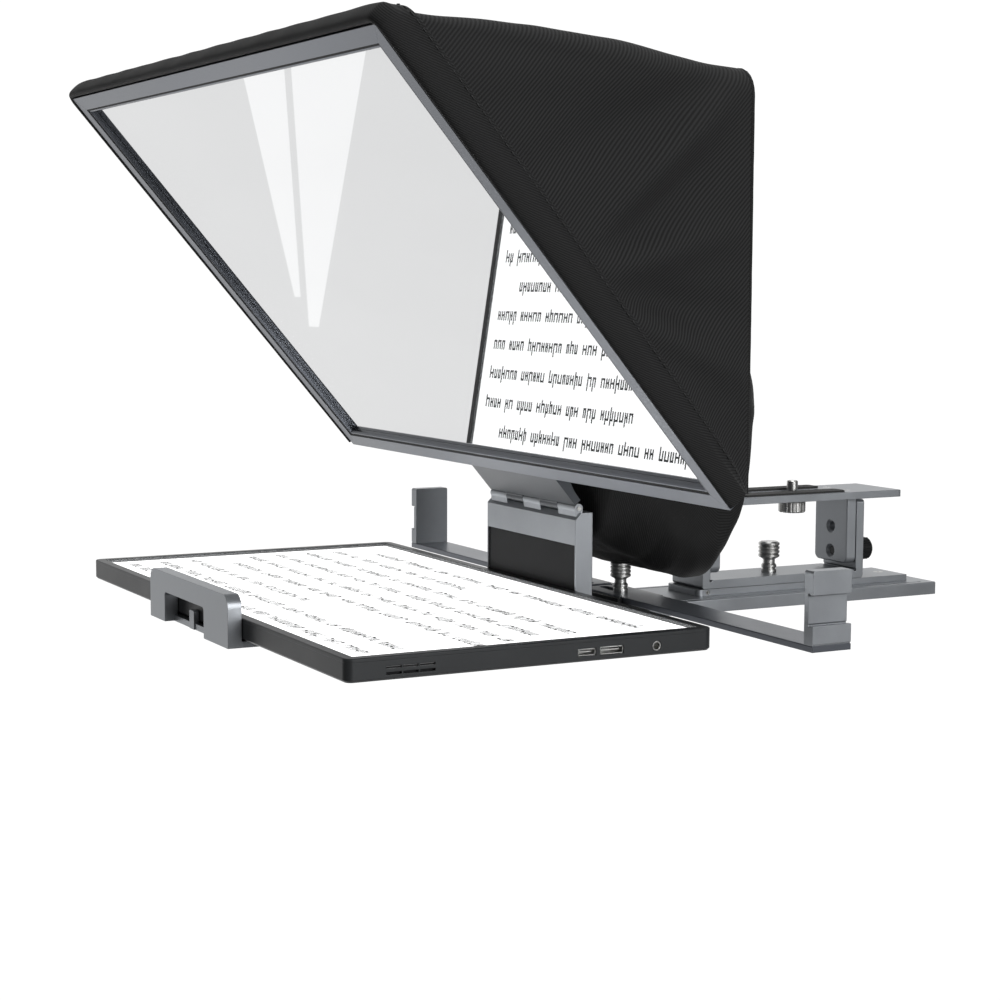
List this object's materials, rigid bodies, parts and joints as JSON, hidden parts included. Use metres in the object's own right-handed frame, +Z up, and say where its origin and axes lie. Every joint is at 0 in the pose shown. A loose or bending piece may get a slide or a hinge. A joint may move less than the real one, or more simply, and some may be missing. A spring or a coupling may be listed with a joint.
{
  "type": "camera teleprompter",
  "caption": "Teleprompter: a folding beam-splitter mirror with a fabric hood and lens sleeve, over a flat display, on a rail with a sliding camera platform.",
  "frame": {"origin": "mouth of the larger tripod thread, on the underside of the base rail", "axes": "+Z up, -Y towards the person being filmed, +X to that person's right hand"},
  "size_m": [0.4172, 0.441, 0.2971],
  "materials": {
    "grey_metal": "bead-blasted, anodised grey",
    "frame_metal": "extruded, anodised slate grey",
    "dark_metal": "satin black anodised",
    "steel": "turned and nickel plated",
    "black_panel": "fine matte black",
    "rubber": "matte",
    "display_shell": "satin black",
    "screen": "lit white page with grey lines",
    "cover_glass": "polished",
    "board": "green circuit board",
    "battery": "foil pouch",
    "mirror_glass": "half-silvered beam splitter",
    "hood_fabric": "black twill weave"
  },
  "bodies": {
    "base": {"base_rail": "grey_metal", "guide_strip": "grey_metal", "base_screws": "steel", "stop_screws": "steel", "cross_base": "dark_metal", "column": "grey_metal", "column_panel": "black_panel", "hinge_pin": "steel", "rest_pads": "rubber"},
    "carriage": {"carriage_bracket": "grey_metal", "carriage_nut": "steel"},
    "carriage_screw": {"carriage_screw": "steel"},
    "platform": {"camera_plate": "grey_metal", "riser_leg_front": "grey_metal", "riser_leg_rear": "grey_metal", "leg_screws": "steel", "camera_pad": "rubber"},
    "riser_knob_front": {"riser_knob_front": "dark_metal"},
    "riser_knob_rear": {"riser_knob_rear": "dark_metal"},
    "screw_bush": {"screw_bush": "steel"},
    "camera_screw": {"camera_screw": "steel"},
    "arm_left": {"arm_bar_left": "frame_metal", "end_bracket_left": "grey_metal", "bracket_screws_left": "steel"},
    "arm_right": {"arm_bar_right": "frame_metal", "end_bracket_right": "grey_metal", "bracket_screws_right": "steel"},
    "arm_screw_left": {"arm_screw_left": "steel"},
    "arm_screw_right": {"arm_screw_right": "steel"},
    "tray": {"tray_arm": "dark_metal", "front_clip": "grey_metal", "clip_pads": "rubber", "clip_screws": "steel"},
    "tray_lock": {"tray_lock": "dark_metal"},
    "display": {"display_back": "display_shell", "display_bezel": "display_shell", "display_screen": "screen", "display_glass": "cover_glass", "display_board": "board", "display_battery": "battery", "display_speakers": "black_panel", "display_ports": "steel"},
    "power_key": {"power_key": "black_panel"},
    "menu_key": {"menu_key": "black_panel"},
    "mirror": {"frame_bar_bottom": "frame_metal", "frame_bar_top": "frame_metal", "frame_bar_left": "frame_metal", "frame_bar_right": "frame_metal", "corner_keys": "steel", "frame_screws": "steel", "mirror_glass": "mirror_glass", "glass_gasket": "rubber", "hinge_bracket": "grey_metal", "hood_hem": "hood_fabric", "hood_top": "hood_fabric", "hood_side_left": "hood_fabric", "hood_side_right": "hood_fabric", "hood_back": "hood_fabric", "lens_sleeve": "hood_fabric"}
  },
  "joints": [
    {"name": "mirror_fold", "type": "hinge", "parent": "base", "child": "mirror", "pos_m": [0, -0.0978, 0.0626], "axis": [1, 0, 0], "range_deg": [0, 49]},
    {"name": "carriage_slide", "type": "slide", "parent": "base", "child": "carriage", "axis": [0, 1, 0], "range_m": [0, 0.03]},
    {"name": "carriage_screw_turn", "type": "hinge", "parent": "carriage", "child": "carriage_screw", "pos_m": [0, 0.0528, 0.024], "axis": [0, 0, 1], "continuous": true},
    {"name": "riser_lift", "type": "slide", "parent": "carriage", "child": "platform", "axis": [0, 0, 1], "range_m": [0, 0.015]},
    {"name": "front_knob_turn", "type": "hinge", "parent": "platform", "child": "riser_knob_front", "pos_m": [0, -0.008, 0.025], "axis": [0, -1, 0], "continuous": true},
    {"name": "rear_knob_turn", "type": "hinge", "parent": "platform", "child": "riser_knob_rear", "pos_m": [0, 0.114, 0.025], "axis": [0, 1, 0], "continuous": true},
    {"name": "bush_slide", "type": "slide", "parent": "platform", "child": "screw_bush", "axis": [0, 1, 0], "range_m": [-0.02, 0.015]},
    {"name": "camera_screw_turn", "type": "hinge", "parent": "screw_bush", "child": "camera_screw", "pos_m": [0, 0.068, 0.055], "axis": [0, 0, 1], "continuous": true},
    {"name": "left_arm_slide", "type": "slide", "parent": "base", "child": "arm_left", "axis": [-1, 0, 0], "range_m": [0, 0.016]},
    {"name": "right_arm_slide", "type": "slide", "parent": "base", "child": "arm_right", "axis": [1, 0, 0], "range_m": [0, 0.016]},
    {"name": "left_arm_screw_turn", "type": "hinge", "parent": "base", "child": "arm_screw_left", "pos_m": [-0.0246, -0.0595, 0.023], "axis": [0, 0, 1], "continuous": true},
    {"name": "right_arm_screw_turn", "type": "hinge", "parent": "base", "child": "arm_screw_right", "pos_m": [0.0246, -0.0595, 0.023], "axis": [0, 0, 1], "continuous": true},
    {"name": "tray_slide", "type": "slide", "parent": "base", "child": "tray", "axis": [0, -1, 0], "range_m": [0, 0.025]},
    {"name": "tray_lock_turn", "type": "hinge", "parent": "base", "child": "tray_lock", "pos_m": [0, -0.112, -0.008], "axis": [0, 0, -1], "continuous": true},
    {"name": "display_lift", "type": "slide", "parent": "tray", "child": "display", "axis": [0, 0, 1], "range_m": [0, 0.025]},
    {"name": "power_key_press", "type": "slide", "parent": "display", "child": "power_key", "axis": [1, 0, 0], "range_m": [0, 0.0005], "stiffness_N_per_m": 500, "springref_m": -0.0002},
    {"name": "menu_key_press", "type": "slide", "parent": "display", "child": "menu_key", "axis": [1, 0, 0], "range_m": [0, 0.0005], "stiffness_N_per_m": 500, "springref_m": -0.0002}
  ]
}
